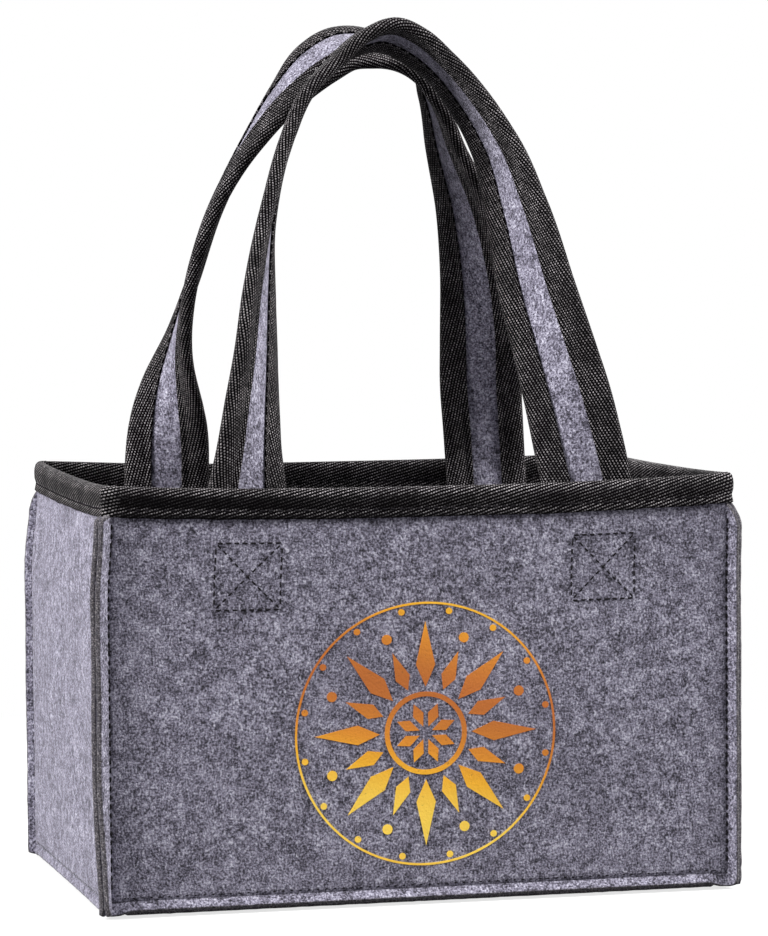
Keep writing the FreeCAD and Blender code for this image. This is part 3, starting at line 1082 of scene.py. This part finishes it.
def burst():
    verts = []
    faces = []

    def spot(x, y, back):
        depth = FELT / 2 + (PRINT_SUNK if back else PRINT_LIFT)
        return (PRINT_MID[0] + x, PRINT_MID[1] + y, depth)

    for outline in print_shapes():
        # Each outline is filled in rings about its middle so that it follows the wall
        outline = np.array(outline)
        edges = []
        for a, b in zip(outline, np.roll(outline, -1, axis=0)):
            n = max(1, int(np.linalg.norm(b - a) // 2.0))
            edges += [a + (b - a) * k / n for k in range(n)]
        ring = np.array(edges)
        middle = ring.mean(axis=0)
        base = len(verts)
        m = len(ring)
        verts.append(spot(*middle, False))
        verts += [spot(*(middle + (p - middle) * 0.5), False) for p in ring]
        verts += [spot(*p, False) for p in ring]
        verts += [spot(*p, True) for p in ring]
        verts.append(spot(*middle, True))
        a, b, c, last = [base + 1 + n * m for n in range(4)]
        for k in range(m):
            after = (k + 1) % m
            faces.append([base, a + k, a + after])
            faces.append([a + k, b + k, b + after, a + after])
            faces.append([b + k, c + k, c + after, b + after])
            faces.append([last, c + after, c + k])
    for r0, r1 in PRINT_BANDS:
        steps = max(48, int(r1 * 3))
        base = len(verts)
        for k in range(steps):
            a = 2 * math.pi * k / steps
            for r, back in ((r0, False), (r1, False), (r1, True), (r0, True)):
                verts.append(spot(r * math.sin(a), r * math.cos(a), back))
        for k in range(steps):
            here, there = base + 4 * k, base + 4 * ((k + 1) % steps)
            for q in range(4):
                t = (q + 1) % 4
                faces.append([here + q, there + q, there + t, here + t])
    flat = np.array(verts)
    points = on_wall("front", flat[:, 0], flat[:, 1])
    points[:, 1] -= flat[:, 2]
    made = mesh_object("front_print", points, faces, print_skin, flat=True)
    right_way(made)
    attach(made, "carrier")


burst()

# Stage, light and camera
WHITE = (1.0, 1.0, 1.0, 1.0)
# Tone of the floor in the light that it throws back, and its share of shadow near the part
FLOOR_TONE = (0.14, 0.14, 0.145, 1.0)
FLOOR_SHADE = 0.26


def shown(tree, share, a, b, output):
    mix = add(tree, "ShaderNodeMixShader", {0: share, 1: a, 2: b})
    tree.links.new(mix.outputs["Shader"], tree.nodes[output].inputs["Surface"])


def seen_white(tree):
    """The rays that see a plain white surround: camera, glossy and transmission rays."""
    rays = add(tree, "ShaderNodeLightPath").outputs
    shiny = calc(tree, "MAXIMUM", rays["Is Glossy Ray"], rays["Is Transmission Ray"])
    return calc(tree, "MAXIMUM", rays["Is Camera Ray"], shiny)


def floor_material(name):
    made, tree, shader, place = material(name, 0.9, 0.1, 0.0)
    glow = add(tree, "ShaderNodeEmission", {"Color": WHITE, "Strength": 1.0})
    white = seen_white(tree)
    tone = mixed(tree, white, FLOOR_TONE, WHITE)
    tree.links.new(tone, shader.inputs["Base Color"])
    away = add(tree, "ShaderNodeVectorMath", {0: place}, operation="LENGTH").outputs["Value"]
    shade = ranged(tree, away, 0.55, 0.25, 0.0, FLOOR_SHADE)
    seen = times(tree, white, calc(tree, "SUBTRACT", 1.0, shade))
    shown(tree, seen, shader.outputs["BSDF"], glow.outputs["Emission"], "Material Output")
    return made


bpy.ops.mesh.primitive_plane_add(size=14.0, location=(0, 0, -0.0005))
floor = bpy.context.object
floor.name = "studio_floor"
floor.data.materials.append(floor_material("studio_floor"))

scene = bpy.context.scene
world = bpy.data.worlds.new("studio")
scene.world = world
world.use_nodes = True
sky = world.node_tree
fill = sky.nodes["Background"]
fill.inputs["Color"].default_value = (0.97, 0.98, 1.0, 1.0)
# The soft light comes more from above than from the level
level_way = add(sky, "ShaderNodeTexCoord").outputs["Generated"]
upward = add(sky, "ShaderNodeSeparateXYZ", {"Vector": level_way}).outputs["Z"]
sky.links.new(ranged(sky, upward, -0.15, 1.0, 0.09, 0.72), fill.inputs["Strength"])
white = add(sky, "ShaderNodeBackground", {"Color": WHITE, "Strength": 1.0})
clear = seen_white(sky)
shown(sky, clear, fill.outputs["Background"], white.outputs["Background"], "World Output")


def lamp(name, place, target, size, watts):
    light = bpy.data.lights.new(name, "AREA")
    light.shape = "DISK"
    light.size = size
    light.energy = watts
    made = bpy.data.objects.new(name, light)
    made.location = place
    made.rotation_euler = (Vector(target) - Vector(place)).to_track_quat("-Z", "Y").to_euler()
    scene.collection.objects.link(made)


lamp("key", (-2.3, -0.5, 1.4), (0, 0, 0.13), 1.0, 117.0)
lamp("side_fill", (2.4, -0.6, 2.0), (0, 0, 0.15), 1.4, 160.0)
lamp("back_fill", (0.6, 2.5, 1.4), (0, 0, 0.13), 1.4, 50.0)

# Camera as fitted to the corners in the photograph
CAMERA_YAW = math.radians(14.40)
CAMERA_PITCH = math.radians(3.20)
CAMERA_ROLL = math.radians(-0.42)
CAMERA_AWAY = 1.516
CAMERA_TARGET = Vector((0.0045, 0.0, 0.1533))
FOCAL_PIXELS = 4000.0
PICTURE_HEIGHT = 936
SENSOR = 36.0

back = Vector((
    -math.sin(CAMERA_YAW) * math.cos(CAMERA_PITCH),
    -math.cos(CAMERA_YAW) * math.cos(CAMERA_PITCH),
    math.sin(CAMERA_PITCH),
))
lens = bpy.data.cameras.new("camera")
lens.sensor_width = SENSOR
lens.lens = FOCAL_PIXELS * SENSOR / PICTURE_HEIGHT
lens.clip_end = 50.0
eye = bpy.data.objects.new("camera", lens)
eye.location = CAMERA_TARGET + back * CAMERA_AWAY
level = back.to_track_quat("Z", "Y")
eye.rotation_euler = (level @ Euler((0, 0, CAMERA_ROLL)).to_quaternion()).to_euler()
scene.collection.objects.link(eye)
scene.camera = eye
scene.view_settings.view_transform = "Standard"
